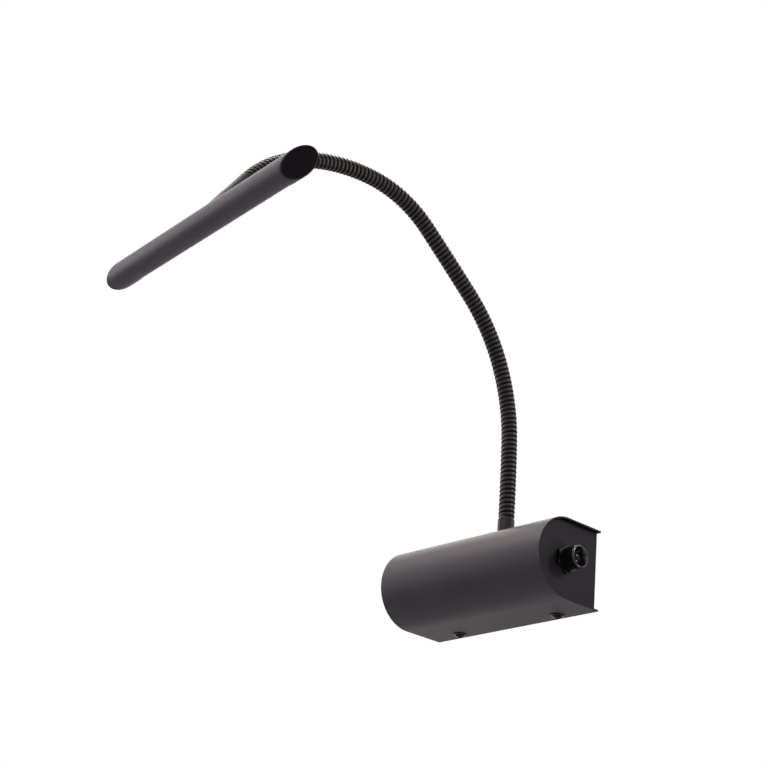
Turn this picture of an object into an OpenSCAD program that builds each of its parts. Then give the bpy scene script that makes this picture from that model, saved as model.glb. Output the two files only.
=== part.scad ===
// Gooseneck wall lamp: a bent sheet base on the wall, a ribbed flexible neck and a slant-ended tube head.
// Frame: the wall is the plane Y = 0, the room is towards -Y, +Z is up and +X runs along the base.
// The origin is the middle of the two wall screw holes, on the wall.

/* [Base cover] */
// Length of the cover along the wall
cover_len = 145; // [120:1:220]
// Height of the cover
cover_h = 55; // [50:1:80]
// Reach of the cover from the wall
cover_depth = 60; // [54:1:90]
// Thickness of the cover sheet
cover_sheet = 1.2; // [0.8:0.1:2]
// Gap between the cover's back edge and the wall
wall_gap = 0.5; // [0.2:0.1:1.5]
// Depth of each end plate inside the cover's end
end_recess = 3; // [1:0.5:8]
// Clearance between the cover and the chassis inside it
cover_fit = 0.3; // [0.1:0.1:0.8]

/* [Chassis] */
// Thickness of the chassis sheet
chassis_sheet = 1.5; // [1:0.1:2.5]
// Inner radius of the chassis bends
bend_r = 0.4; // [0.2:0.1:4]
// Width of each tab that takes a cover screw
tab_w = 16; // [12:1:24]
// Reach of each tab from the wall
tab_reach = 16; // [13:1:20]
// Height of the drawn collar round each tapped hole
collar_h = 2.5; // [1:0.5:4]

/* [Cover screws] */
// Distance between the two cover screws
cover_screw_gap = 89; // [70:1:100]
// Distance of the cover screws from the wall
cover_screw_y = 8.5; // [7:0.5:12]
// Thread diameter of the cover screws
cover_screw_d = 4; // [3:0.5:5]
// Flange diameter of the screw heads
screw_flange_d = 9.6; // [8:0.2:12]
// Thickness of the screw flange
screw_flange_t = 0.7; // [0.5:0.1:1.5]
// Diameter of the button head above its flange
screw_head_d = 7.6; // [6:0.2:9]
// Height of the button head above its flange
screw_head_h = 1.8; // [1:0.1:3]
// Length of the screw shank
screw_len = 8; // [6:0.5:14]
// Width of the socket across its flats
socket_af = 2.5; // [1.5:0.5:4]
// Depth of the socket
socket_deep = 1.4; // [0.8:0.1:2]
// Clearance of every screw and thread in its hole, on the diameter
hole_fit = 0.4; // [0.2:0.1:1]

/* [Wall fixing] */
// Distance between the two wall screw holes
wall_hole_gap = 112; // [100:1:118]
// Diameter of the wall screw holes
wall_hole_d = 5; // [4:0.5:6]
// Bore of the grommet where the supply enters
cable_bore_d = 7; // [5:0.5:9]
// Place of the cable entry along the wall
cable_x = 32; // [28:1:36]
// Wall of the grommet round its bore
grommet_wall = 1.8; // [1:0.2:3]
// Width of the grommet's lip
grommet_lip = 1.6; // [1:0.2:3]
// Thickness of the grommet's inner lip
grommet_lip_t = 2; // [1:0.2:3]

/* [Electronics] */
// Length of the LED driver case
driver_len = 54; // [46:1:58]
// Height of the LED driver case
driver_h = 28; // [20:1:32]
// Thickness of the LED driver case
driver_t = 20; // [14:1:21]
// Gap between the driver's ear and the grommet's lip
driver_gap = 2; // [1:0.5:4]
// Length of the fixing ear at each end of the driver
ear_len = 8; // [7:0.5:10]
// Thickness of the ears
ear_t = 2.5; // [1.5:0.5:4]
// Thread diameter of the driver screws
driver_screw_d = 3; // [2.5:0.5:4]
// Head diameter of the driver screws
driver_head_d = 5.6; // [5:0.2:7]
// Head height of the driver screws
driver_head_h = 2; // [1.5:0.1:3]
// Length of each terminal block
terminal_len = 17; // [14:1:20]
// Height of the terminal block
terminal_h = 11; // [8:1:13]
// Depth of the terminal block from the back plate
terminal_t = 13; // [10:1:16]
// Diameter of the terminal screws' holes
terminal_screw_d = 3.4; // [2.5:0.1:4]
// Diameter of the terminal wires' holes
terminal_wire_d = 2.8; // [2:0.1:3.5]
// Height of the terminal block's middle above the middle of the base
terminal_z = 16; // [14:1:17]

/* [Switch] */
// Distance of the switch from the wall
switch_y = 31; // [28:1:36]
// Diameter of the switch collar
collar_d = 15; // [14.6:0.2:20]
// Length of the collar beyond its ring nut
collar_len = 10.5; // [9:0.5:14]
// Rounding of the collar's front rim
rim_r = 0.9; // [0.5:0.1:1]
// Diameter of the recess at its mouth
mouth_d = 13; // [11.4:0.2:13.2]
// Depth of the tapered recess
recess_deep = 3.4; // [3:0.1:5]
// Diameter of the button
button_d = 8.4; // [8:0.2:10.4]
// Gap round the button
button_gap = 0.3; // [0.2:0.05:0.45]
// Height of the button's dome
dome_h = 1.3; // [1:0.1:3]
// Length of the button's side
button_side = 4; // [3:0.5:5]
// Travel of the button
button_travel = 3; // [2:0.5:3.5]
// Diameter of the button's stem
button_stem_d = 4.4; // [3.5:0.1:5]
// Thread diameter of the switch barrel
barrel_d = 12.6; // [12.2:0.2:14]
// Length of the barrel behind the end plate's outer face
barrel_len = 10; // [9:0.5:14]
// Depth of the spring's seat behind the end plate's outer face
spring_seat = 1; // [0.5:0.5:2]
// Width of the hexagonal ring nut across its flats
ring_nut_af = 17; // [16:0.5:22]
// Thickness of the ring nut
ring_nut_t = 2.5; // [2:0.5:4]
// Height of the chamfer on the ring nut's corners
ring_nut_bevel = 0.8; // [0.4:0.1:1.2]
// Width of the inner lock nut across its flats
switch_nut_af = 17; // [16:0.5:20]
// Thickness of the inner lock nut
switch_nut_t = 3.5; // [2.5:0.5:5]
// Side of the square contact housing
housing_w = 14; // [13:0.5:18]
// Length of the contact housing
housing_len = 15; // [13:0.5:18]
// Length of the two solder blades
blade_len = 6; // [4:0.5:8]
// Width of the solder blades
blade_w = 4; // [2.5:0.5:5]
// Thickness of the solder blades
blade_t = 0.8; // [0.5:0.1:1.2]
// Distance between the solder blades
blade_gap = 7; // [5:0.5:8]

/* [Neck foot] */
// Place of the neck along the base, from the middle
foot_x = 9.5; // [0:0.5:20]
// Distance of the neck from the wall
foot_y = 25.5; // [24:0.5:32]
// Turn of the whole arm about its foot, towards -X
arm_swing = 8; // [0:1:15]
// Width of the neck's foot nut across its flats
foot_nut_af = 10.6; // [10:0.1:14]
// Number of flats on the foot nut
foot_nut_flats = 8; // [6:2:12]
// Height of the foot nut above the cover
foot_nut_h = 14.5; // [10:0.5:20]
// Height of the tapered top of the foot nut
foot_nut_taper = 2.7; // [1:0.1:4]
// Diameter of the tapered top at its end
foot_nut_top_d = 9.8; // [9:0.1:12]
// Thread diameter of the foot nut's stud through the cover
stud_d = 8; // [7:0.5:9]
// Bore through the stud for the wires
stud_bore_d = 4.5; // [3:0.5:5]
// Diameter of the load washer under the cover
washer_d = 14; // [14:1:24]
// Thickness of the load washer
washer_t = 1.6; // [1:0.2:3]
// Width of the lock nut across its flats
lock_nut_af = 13; // [12:0.5:16]
// Height of the lock nut
lock_nut_h = 5; // [3:0.5:7]
// Length of thread that shows below the lock nut
thread_tail = 1.5; // [0.5:0.5:3]

/* [Neck] */
// Diameter of the neck over its ribs
neck_d = 11.3; // [9:0.1:11.8]
// Diameter of the neck in its grooves
groove_d = 9.1; // [8:0.1:9.2]
// Bore of the neck
neck_bore_d = 7.4; // [7:0.1:7.6]
// Distance from rib to rib
rib_pitch = 3.2; // [3:0.1:4]
// Ribs on each of the neck's links
ribs_per_link = 17; // [12:1:20]
// Bend that each link is set to, from foot to head, in degrees
neck_bends = [2.5, 20.3, 23.6, 1.5, 37.5, 24, 35]; // [0:0.1:40]
// Opening between two links, which lets them tilt on each other
link_gap = 2.4; // [2.2:0.1:2.8]

/* [Neck core] */
// Diameter of the core's stub inside a link
core_d = 6.2; // [5:0.1:6.4]
// Length of the core's stub inside a link
core_len = 6; // [4:0.5:9]
// Diameter of the round knuckle on which the next link tilts
knuckle_d = 4.4; // [3.5:0.1:4.6]
// Length of the knuckle along its axis
knuckle_len = 4.2; // [3:0.1:4.4]
// Bore of the core for the wires
core_bore_d = 2.4; // [1.5:0.1:3]

/* [Head stem] */
// Diameter of the smooth ferrule on the neck's upper end
ferrule_d = 11.4; // [9.5:0.1:12]
// Length of the smooth ferrule
ferrule_len = 20; // [12:1:30]
// Bore of the ferrule
ferrule_bore_d = 5; // [3:0.5:6]
// Diameter of the stem that carries the tube
stem_d = 12; // [11:0.5:15]
// Length of the stem from the ferrule to the tube
stem_len = 32; // [15:0.5:40]
// Rounding of the stem's upper shoulder
stem_round = 1.4; // [0.4:0.2:2.5]
// Thread diameter of the stem's stud inside the tube
stem_stud_d = 6; // [5:0.5:6.5]
// Length of the stem's stud inside the tube
stem_stud_len = 6; // [4:0.5:8]
// Bore of the stem for the wires
stem_bore_d = 3.2; // [2:0.2:4]
// Gap of the saddle where the stem meets the tube
saddle_fit = 0.1; // [0.05:0.05:0.3]

/* [Head tube] */
// Outer diameter of the tube
head_d = 17.6; // [16:0.2:22]
// Wall of the tube
head_wall = 1.2; // [0.8:0.1:1.8]
// Length of the head along its axis, between the slanted end faces
head_len = 212; // [180:1:260]
// Distance from the stem to the middle of the head
head_offset = 17; // [0:1:25]
// Slant of both end faces from a square cut, in degrees
cut_angle = 46; // [20:1:48]
// Thickness of the end caps, along the tube
cap_t = 2; // [1.5:0.1:4]
// Length of the plug by which each cap sits in the tube
cap_plug = 7; // [4:0.5:10]
// Clearance of what slides into the tube, on the radius
tube_fit = 0.2; // [0.1:0.05:0.4]
// Width of the light slot
slot_w = 8.4; // [7:0.1:9]
// Distance from the end faces to the light slot
slot_end = 15; // [14:0.5:24]

/* [Light] */
// Height of the carrier's floor above the tube's axis
carrier_floor = 3.4; // [3.3:0.1:3.8]
// Height of the carrier's side ledges above the tube's axis
carrier_ledge = 5.5; // [5.2:0.1:5.7]
// Width of the carrier's channel
channel_w = 6.8; // [6.4:0.1:7]
// Clearance of the light's parts in their seats
light_fit = 0.15; // [0.1:0.05:0.2]
// Thickness of the LED board
board_t = 1; // [0.8:0.1:1.2]
// Number of LED chips
chip_count = 28; // [12:1:32]
// Length of an LED chip
chip_len = 3.5; // [2:0.1:4]
// Width of an LED chip
chip_w = 2.8; // [2:0.1:3.5]
// Height of an LED chip
chip_h = 0.7; // [0.5:0.1:0.8]
// Depth of the diffuser's face below the tube's surface
diffuser_sink = 0.2; // [0:0.1:0.6]

/* [Hidden] */
$fn = 64;
neck_sides = 8;
bore_rings = 6;
past = 1;

links = len(neck_bends);
link_len = rib_pitch * ribs_per_link;
cover_r = cover_h / 2;
inner_r = cover_r - cover_sheet;
chassis_r = inner_r - cover_fit;
round_y = cover_depth - cover_r;
plate_x = cover_len / 2 - end_recess;
tab_z = -chassis_r;
driver_x = cable_x - cable_bore_d / 2 - grommet_wall - grommet_lip - driver_gap - ear_len - driver_len / 2;
stud_hole_d = stud_d + hole_fit;
// Where the washer reaches past the cover's flat top, it sits lower by this much.
washer_over = max(0, foot_y + washer_d / 2 - round_y);
washer_z = -cover_sheet - washer_t - inner_r + sqrt(inner_r * inner_r - washer_over * washer_over);
nut_z = washer_z - lock_nut_h;

head_r = head_d / 2;
tube_r = head_r - head_wall;
seat_r = tube_r - tube_fit;
near_x = head_len / 2 + head_offset;
far_x = head_offset - head_len / 2;
slope = tan(cut_angle);
carrier_end = cap_t + cap_plug + tube_fit + tube_r * slope;
carrier_near = near_x - carrier_end;
carrier_far = far_x + carrier_end;
stem_foot = ferrule_len + stem_len + head_r;
stud_tip = tube_r - stem_stud_len;
board_w = channel_w - 2 * light_fit;
diffuser_w = slot_w - 2 * light_fit;
diffuser_foot = carrier_ledge + light_fit / 2;

button_foot = ring_nut_t + collar_len - recess_deep - button_side;
stem_hole_d = button_stem_d + 2 * button_gap;

sheet_grey = [0.27, 0.25, 0.26];
dark_grey = [0.2, 0.19, 0.2];
gloss_black = [0.06, 0.06, 0.06];
steel = [0.62, 0.62, 0.64];
rib_grey = [0.33, 0.31, 0.29];

// Directions and arcs of the neck: each link is an arc in the arm's upright plane.
// A place there is [forward, up], and a turn of 0 points up and 90 straight out from the wall.
function bend_before(k) = k == 0 ? 0 : bend_before(k - 1) + neck_bends[k - 1];
function arc_step(turn, bend, length) = abs(bend) < 0.001
    ? [sin(turn), cos(turn)] * length
    : let (r = length * 180 / (PI * bend)) [cos(turn) - cos(turn + bend), sin(turn + bend) - sin(turn)] * r;
function link_start(k) = k == 0
    ? [0, foot_nut_h]
    : link_start(k - 1) + arc_step(bend_before(k - 1), neck_bends[k - 1], link_len);
function turn_at(k, s) = bend_before(k) + neck_bends[k] * s / link_len;
function place_at(k, s) = link_start(k) + arc_step(bend_before(k), neck_bends[k] * s / link_len, s);

// One ring of points round the neck, square to its centre line.
function neck_ring(k, s, r) =
    let (p = place_at(k, s), t = turn_at(k, s))
    [for (i = [0:neck_sides - 1])
        let (a = 360 * i / neck_sides, side = r * cos(a), out = r * sin(a))
        [side, -p[0] - out * cos(t), p[1] - out * sin(t)]];

// Two rings a rib, at its crest and in the groove after it, then the bore back to the start.
function link_rings(k) =
    let (from = k == 0 ? 0 : link_gap / 2,
         to = link_len - (k == links - 1 ? 0 : link_gap / 2),
         crest = neck_d / 2, groove = groove_d / 2, bore = neck_bore_d / 2)
    concat(
        [neck_ring(k, from, groove)],
        [for (i = [1:2 * ribs_per_link - 1])
            neck_ring(k, i * rib_pitch / 2, i % 2 == 1 ? crest : groove)],
        [neck_ring(k, to, groove)],
        [for (i = [0:bore_rings]) neck_ring(k, to + (from - to) * i / bore_rings, bore)]);

// Turns a profile in the Y-Z plane into a body that runs along X.
module along_x(from, to) {
    translate([from, 0, 0]) rotate([90, 0, 90]) linear_extrude(to - from) children();
}

// The base's outline seen along the wall: flat above and below, half round in front.
module base_outline(r, back) {
    translate([-round_y, 0]) circle(r);
    translate([-round_y, -r]) square([round_y + back, 2 * r]);
}

// A tray outline seen from above, with round back corners at the wall.
module tray_outline(half, back, r) {
    translate([-half + r, -cover_depth]) square([2 * (half - r), cover_depth - back]);
    translate([-half, -cover_depth]) square([2 * half, cover_depth - back - r]);
    for (side = [-1, 1]) translate([side * (half - r), -back - r]) circle(r);
}

module hex(af, h) {
    cylinder(h = h, d = af / cos(30), $fn = 6);
}

// A round blank whose top tapers to a smaller radius; a bar crossed with it gets its upper corners chamfered.
module chamfered(r, h, taper, top_r) {
    rotate_extrude() polygon([[0, 0], [r, 0], [r, h - taper], [top_r, h], [0, h]]);
}

module at_tab_screws() {
    for (side = [-1, 1]) translate([side * cover_screw_gap / 2, -cover_screw_y, 0]) children();
}

module at_driver_screws() {
    for (side = [-1, 1])
        translate([driver_x + side * (driver_len + ear_len) / 2, -chassis_sheet, 0])
            rotate([90, 0, 0]) children();
}

// Base pieces

module chassis() {
    color(dark_grey) difference() {
        union() {
            intersection() {
                translate([0, 0, -cover_h]) linear_extrude(2 * cover_h) difference() {
                    tray_outline(plate_x, 0, bend_r + chassis_sheet);
                    tray_outline(plate_x - chassis_sheet, chassis_sheet, bend_r);
                }
                along_x(-cover_len, cover_len) base_outline(chassis_r, past);
            }
            for (side = [-1, 1]) translate([side * cover_screw_gap / 2 - tab_w / 2, -tab_reach, tab_z])
                cube([tab_w, tab_reach - chassis_sheet / 2, chassis_sheet]);
            at_tab_screws() translate([0, 0, tab_z])
                cylinder(h = chassis_sheet + collar_h, d = cover_screw_d + 2 * chassis_sheet);
        }
        at_tab_screws() translate([0, 0, tab_z - past])
            cylinder(h = chassis_sheet + collar_h + 2 * past, d = cover_screw_d + hole_fit / 2);
        for (side = [-1, 1]) translate([side * wall_hole_gap / 2, past, 0]) rotate([90, 0, 0])
            cylinder(h = chassis_sheet + 2 * past, d = wall_hole_d);
        translate([cable_x, past, 0]) rotate([90, 0, 0])
            cylinder(h = chassis_sheet + 2 * past, d = cable_bore_d + 2 * grommet_wall + hole_fit);
        at_driver_screws() translate([0, 0, -chassis_sheet - past])
            cylinder(h = chassis_sheet + 2 * past, d = driver_screw_d + hole_fit / 2);
        translate([plate_x + past, -switch_y, 0]) rotate([0, -90, 0])
            cylinder(h = chassis_sheet + 2 * past, d = barrel_d + hole_fit);
    }
}

module cover() {
    color(sheet_grey) difference() {
        along_x(-cover_len / 2, cover_len / 2) difference() {
            base_outline(cover_r, -wall_gap);
            base_outline(inner_r, past);
        }
        at_tab_screws() translate([0, 0, -cover_r - past])
            cylinder(h = cover_sheet + 2 * past, d = cover_screw_d + hole_fit);
        translate([foot_x, -foot_y, inner_r - past]) cylinder(h = cover_sheet + 2 * past, d = stud_hole_d);
    }
}

module cover_screws() {
    color(gloss_black) at_tab_screws() translate([0, 0, -cover_r]) rotate([180, 0, 0]) difference() {
        rotate_extrude() {
            translate([0, -screw_len]) square([cover_screw_d / 2, screw_len + screw_flange_t]);
            square([screw_flange_d / 2, screw_flange_t]);
            intersection() {
                button_r = (pow(screw_head_d / 2, 2) + pow(screw_head_h, 2)) / (2 * screw_head_h);
                translate([0, screw_flange_t + screw_head_h - button_r]) circle(button_r);
                translate([0, screw_flange_t]) square([screw_head_d, screw_head_h]);
            }
        }
        translate([0, 0, screw_flange_t + screw_head_h - socket_deep]) hex(socket_af, socket_deep + past);
    }
}

module cable_grommet() {
    inner = cable_bore_d / 2;
    neck = inner + grommet_wall;
    color(gloss_black) translate([cable_x, 0, 0]) rotate([90, 0, 0]) rotate_extrude() {
        translate([inner, 0]) square([grommet_wall, chassis_sheet + grommet_lip_t]);
        translate([inner, chassis_sheet]) square([neck + grommet_lip - inner, grommet_lip_t]);
    }
}

module terminal_block() {
    ways = 3;
    step = terminal_len / ways;
    corner = [cable_x - terminal_len / 2, -chassis_sheet - terminal_t, terminal_z - terminal_h / 2];
    color("ivory") translate(corner) difference() {
        cube([terminal_len, terminal_t, terminal_h]);
        for (i = [0:ways - 1]) translate([(i + 0.5) * step, terminal_t / 2, terminal_h / 2]) {
            rotate([90, 0, 0]) cylinder(h = terminal_t, d = terminal_screw_d);
            translate([0, 0, -terminal_h]) cylinder(h = 2 * terminal_h, d = terminal_wire_d);
        }
    }
}

module led_driver() {
    color("whitesmoke") difference() {
        translate([driver_x, -chassis_sheet, 0]) {
            translate([-driver_len / 2, -driver_t, -driver_h / 2]) cube([driver_len, driver_t, driver_h]);
            translate([-driver_len / 2 - ear_len, -ear_t, -ear_len / 2])
                cube([driver_len + 2 * ear_len, ear_t, ear_len]);
        }
        at_driver_screws() translate([0, 0, -past])
            cylinder(h = ear_t + 2 * past, d = driver_screw_d + hole_fit);
    }
}

module driver_screws() {
    color(steel) at_driver_screws() {
        translate([0, 0, -chassis_sheet]) cylinder(h = chassis_sheet + ear_t, d = driver_screw_d);
        translate([0, 0, ear_t]) cylinder(h = driver_head_h, d = driver_head_d);
    }
}

// Switch pieces stand on the right end plate's outer face and point along +X

module on_end_plate() {
    translate([plate_x, -switch_y, 0]) rotate([0, 90, 0]) children();
}

module switch_ring_nut() {
    corner = ring_nut_af / cos(30) / 2;
    color(gloss_black) on_end_plate() difference() {
        intersection() {
            hex(ring_nut_af, ring_nut_t);
            chamfered(corner, ring_nut_t, ring_nut_bevel, ring_nut_af / 2);
        }
        translate([0, 0, -past]) cylinder(h = ring_nut_t + 2 * past, d = barrel_d + hole_fit);
    }
}

module switch_bezel() {
    front = ring_nut_t + collar_len;
    r = collar_d / 2;
    bore = button_d / 2 + button_gap;
    color(gloss_black) on_end_plate() rotate_extrude() difference() {
        union() {
            translate([0, -barrel_len]) square([barrel_d / 2, barrel_len + ring_nut_t]);
            translate([0, ring_nut_t]) square([r, collar_len - rim_r]);
            translate([0, ring_nut_t]) square([r - rim_r, collar_len]);
            translate([r - rim_r, front - rim_r]) circle(rim_r);
        }
        translate([0, -barrel_len - past]) square([stem_hole_d / 2, barrel_len + front]);
        translate([0, -spring_seat]) square([bore, front]);
        polygon([[0, front - recess_deep], [bore, front - recess_deep], [mouth_d / 2, front],
                 [mouth_d / 2, front + past], [0, front + past]]);
    }
}

module switch_lock_nut() {
    color(steel) on_end_plate() translate([0, 0, -chassis_sheet - switch_nut_t]) difference() {
        hex(switch_nut_af, switch_nut_t);
        translate([0, 0, -past]) cylinder(h = switch_nut_t + 2 * past, d = barrel_d + hole_fit / 2);
    }
}

module switch_housing() {
    color(dark_grey) on_end_plate() translate([0, 0, -barrel_len - housing_len]) difference() {
        translate([-housing_w / 2, -housing_w / 2, 0]) cube([housing_w, housing_w, housing_len]);
        translate([0, 0, housing_len - 2 * button_travel]) cylinder(h = housing_len, d = stem_hole_d);
    }
}

module switch_blades() {
    color(steel) on_end_plate() for (side = [-1, 1])
        translate([side * blade_gap / 2 - blade_t / 2, -blade_w / 2, -barrel_len - housing_len - blade_len])
            cube([blade_t, blade_w, blade_len]);
}

module switch_spring() {
    outer = button_d / 2 - button_gap;
    inner = stem_hole_d / 2;
    color(steel) on_end_plate() translate([0, 0, -spring_seat]) difference() {
        cylinder(h = spring_seat + button_foot, r = outer);
        translate([0, 0, -past]) cylinder(h = spring_seat + button_foot + 2 * past, r = inner);
    }
}

module switch_button() {
    r = button_d / 2;
    dome_r = (r * r + dome_h * dome_h) / (2 * dome_h);
    top = button_foot + button_side;
    color(gloss_black) on_end_plate() rotate_extrude() {
        translate([0, button_foot]) square([r, button_side]);
        intersection() {
            translate([0, top + dome_h - dome_r]) circle(dome_r);
            translate([0, top]) square([r, dome_h]);
        }
        translate([0, -barrel_len]) square([button_stem_d / 2, barrel_len + button_foot]);
    }
}

// Neck pieces stand on the cover's top, at the neck's foot, in the arm's upright plane

module at_foot() {
    translate([foot_x, -foot_y, cover_r]) rotate([0, 0, -arm_swing]) children();
}

// Places its children on the neck's centre line, with Z along the neck and X square to the arm's plane.
module at_neck(k, s) {
    p = place_at(k, s);
    at_foot() translate([0, -p[0], p[1]]) rotate([turn_at(k, s), 0, 0]) children();
}

module neck_foot_nut() {
    corner = foot_nut_af / cos(180 / foot_nut_flats) / 2;
    color(dark_grey) at_foot() difference() {
        union() {
            intersection() {
                cylinder(h = foot_nut_h, r = corner, $fn = foot_nut_flats);
                chamfered(corner, foot_nut_h, foot_nut_taper, foot_nut_top_d / 2);
            }
            translate([0, 0, nut_z - thread_tail]) cylinder(h = past - nut_z + thread_tail, d = stud_d);
        }
        translate([0, 0, nut_z - thread_tail - past])
            cylinder(h = foot_nut_h - nut_z + thread_tail + 2 * past, d = stud_bore_d);
    }
}

module neck_washer() {
    color(steel) at_foot() translate([0, 0, washer_z]) difference() {
        cylinder(h = washer_t, d = washer_d);
        translate([0, 0, -past]) cylinder(h = washer_t + 2 * past, d = stud_hole_d);
    }
}

module neck_lock_nut() {
    color(steel) at_foot() translate([0, 0, nut_z]) difference() {
        hex(lock_nut_af, lock_nut_h);
        translate([0, 0, -past]) cylinder(h = lock_nut_h + 2 * past, d = stud_d + hole_fit / 2);
    }
}

// One length of the ribbed hose: a single closed skin over its ribs and through its bore.
module neck_link(k) {
    rings = link_rings(k);
    n = len(rings);
    m = neck_sides;
    color(rib_grey) at_foot() polyhedron(
        points = [for (ring = rings) each ring],
        faces = [for (j = [0:n - 1], i = [0:m - 1])
            let (next = (i + 1) % m, here = j * m, there = (j + 1) % n * m)
            each [[here + i, here + next, there + i], [here + next, there + next, there + i]]]);
}

// The inner coil where two lengths meet: a stub in the lower one and a round knuckle for the upper one.
// Odd joints nod in the arm's plane and even ones sway across it.
module neck_core(k) {
    color(gloss_black) at_neck(k, 0) difference() {
        union() {
            translate([0, 0, -core_len]) cylinder(h = core_len - link_gap / 4, d = core_d);
            rotate([0, 0, k % 2 == 1 ? 0 : 90]) translate([-knuckle_len / 2, 0, 0]) rotate([0, 90, 0])
                cylinder(h = knuckle_len, d = knuckle_d);
        }
        translate([0, 0, -core_len - past]) cylinder(h = core_len + knuckle_d + past, d = core_bore_d);
    }
}

module neck_top_ferrule() {
    color(dark_grey) at_neck(links - 1, link_len) difference() {
        cylinder(h = ferrule_len, d = ferrule_d);
        translate([0, 0, -past]) cylinder(h = ferrule_len + 2 * past, d = ferrule_bore_d);
    }
}

// Head pieces: X runs along the tube, Z from the tube to the stem and Y out of the light slot

module at_head() {
    at_neck(links - 1, link_len) translate([0, 0, stem_foot]) rotate([180, 0, 0]) children();
}

module head_round(r) {
    translate([-head_len, 0, 0]) rotate([0, 90, 0]) cylinder(h = 2 * head_len, r = r);
}

// The space between two slanted planes that cross the tube's axis at from and to.
module between_cuts(from, to) {
    h = head_d;
    rotate([90, 0, 0]) translate([0, 0, -h]) linear_extrude(2 * h)
        polygon([[from - slope * h, -h], [to - slope * h, -h], [to + slope * h, h], [from + slope * h, h]]);
}

module head_stem() {
    base = stem_foot - ferrule_len;
    r = stem_d / 2;
    color(dark_grey) at_head() difference() {
        union() {
            difference() {
                rotate_extrude() {
                    square([r, base - stem_round]);
                    square([r - stem_round, base]);
                    translate([r - stem_round, base - stem_round]) circle(stem_round);
                }
                head_round(head_r + saddle_fit);
            }
            translate([0, 0, stud_tip]) cylinder(h = base - stem_round - stud_tip, d = stem_stud_d);
        }
        translate([0, 0, -head_d]) cylinder(h = base + 2 * head_d, d = stem_bore_d);
    }
}

module head_tube() {
    color(sheet_grey) at_head() difference() {
        intersection() {
            head_round(head_r);
            between_cuts(far_x + cap_t, near_x - cap_t);
        }
        head_round(tube_r);
        translate([far_x + slot_end, 0, -slot_w / 2]) cube([head_len - 2 * slot_end, head_d, slot_w]);
        cylinder(h = head_d, d = stem_stud_d + hole_fit);
    }
}

module end_cap(from, to, plug_from, plug_to) {
    color(gloss_black) at_head() {
        intersection() {
            head_round(head_r);
            between_cuts(from, to);
        }
        intersection() {
            head_round(seat_r);
            between_cuts(plug_from, plug_to);
        }
    }
}

module end_cap_near() {
    end_cap(near_x - cap_t, near_x, near_x - cap_t - cap_plug, near_x - cap_t / 2);
}

module end_cap_far() {
    end_cap(far_x, far_x + cap_t, far_x + cap_t / 2, far_x + cap_t + cap_plug);
}

module led_carrier() {
    color(steel) at_head() difference() {
        along_x(carrier_far, carrier_near) difference() {
            intersection() {
                circle(seat_r);
                translate([-head_r, -head_r]) square([head_r + carrier_ledge, head_d]);
            }
            translate([carrier_floor, -channel_w / 2]) square([head_r, channel_w]);
        }
        translate([0, 0, stud_tip - hole_fit]) cylinder(h = head_d, d = stem_stud_d + hole_fit / 2);
    }
}

module led_board() {
    color("white") at_head() translate([carrier_far, carrier_floor, -board_w / 2])
        cube([carrier_near - carrier_far, board_t, board_w]);
}

module led_chips() {
    step = (carrier_near - carrier_far) / chip_count;
    color("khaki") at_head() for (i = [0:chip_count - 1])
        translate([carrier_far + (i + 0.5) * step - chip_len / 2, carrier_floor + board_t, -chip_w / 2])
            cube([chip_len, chip_h, chip_w]);
}

module diffuser() {
    from = far_x + slot_end + light_fit;
    color("snow") at_head() along_x(from, from + head_len - 2 * slot_end - 2 * light_fit) intersection() {
        circle(head_r - diffuser_sink);
        translate([diffuser_foot, -diffuser_w / 2]) square([head_d, diffuser_w]);
    }
}

chassis();
cover();
cover_screws();
cable_grommet();
terminal_block();
led_driver();
driver_screws();
switch_ring_nut();
switch_bezel();
switch_lock_nut();
switch_housing();
switch_blades();
switch_spring();
switch_button();
neck_foot_nut();
neck_washer();
neck_lock_nut();
for (k = [1:links]) neck_link(k - 1);
for (k = [1:links - 1]) neck_core(k);
neck_top_ferrule();
head_stem();
head_tube();
end_cap_near();
end_cap_far();
led_carrier();
led_board();
led_chips();
diffuser();
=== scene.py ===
import bpy
from math import asin, cos, pi, radians, sin, tan
from mathutils import Matrix, Vector


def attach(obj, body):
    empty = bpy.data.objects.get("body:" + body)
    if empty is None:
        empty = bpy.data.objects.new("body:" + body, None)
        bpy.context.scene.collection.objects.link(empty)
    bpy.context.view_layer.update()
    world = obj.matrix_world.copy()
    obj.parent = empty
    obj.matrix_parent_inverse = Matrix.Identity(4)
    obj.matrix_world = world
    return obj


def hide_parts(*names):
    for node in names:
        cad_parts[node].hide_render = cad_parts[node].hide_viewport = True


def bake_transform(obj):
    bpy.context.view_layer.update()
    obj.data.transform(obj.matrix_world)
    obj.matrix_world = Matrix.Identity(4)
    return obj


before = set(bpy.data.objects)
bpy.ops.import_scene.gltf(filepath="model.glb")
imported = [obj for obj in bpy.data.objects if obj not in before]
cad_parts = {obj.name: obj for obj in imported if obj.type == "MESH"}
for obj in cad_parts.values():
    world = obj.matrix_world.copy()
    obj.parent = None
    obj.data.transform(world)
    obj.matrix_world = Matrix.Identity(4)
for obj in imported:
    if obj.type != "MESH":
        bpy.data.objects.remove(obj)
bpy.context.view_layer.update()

# View.
# The lamp was photographed from below and from its switch end, with a long lens held slightly crooked.
# Nothing but the lamp is in the picture, so the view is set by the lamp alone.
view_turn, view_rise, view_roll = radians(47.8), radians(-22.5), radians(4.75)
view_offset = (-0.0912, 0.139, 1.358)
view_lens, view_film = 93.75, 36
view_aim = (Matrix.Rotation(view_turn, 4, "Z") @ Matrix.Rotation(pi / 2 - view_rise, 4, "X")
            @ Matrix.Rotation(view_roll, 4, "Z"))
bpy.ops.object.camera_add()
camera = bpy.context.object
camera.name = "photo_view"
camera.matrix_world = view_aim @ Matrix.Translation(view_offset)
camera.data.sensor_width = view_film
camera.data.lens = view_lens
bpy.context.scene.camera = camera
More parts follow.
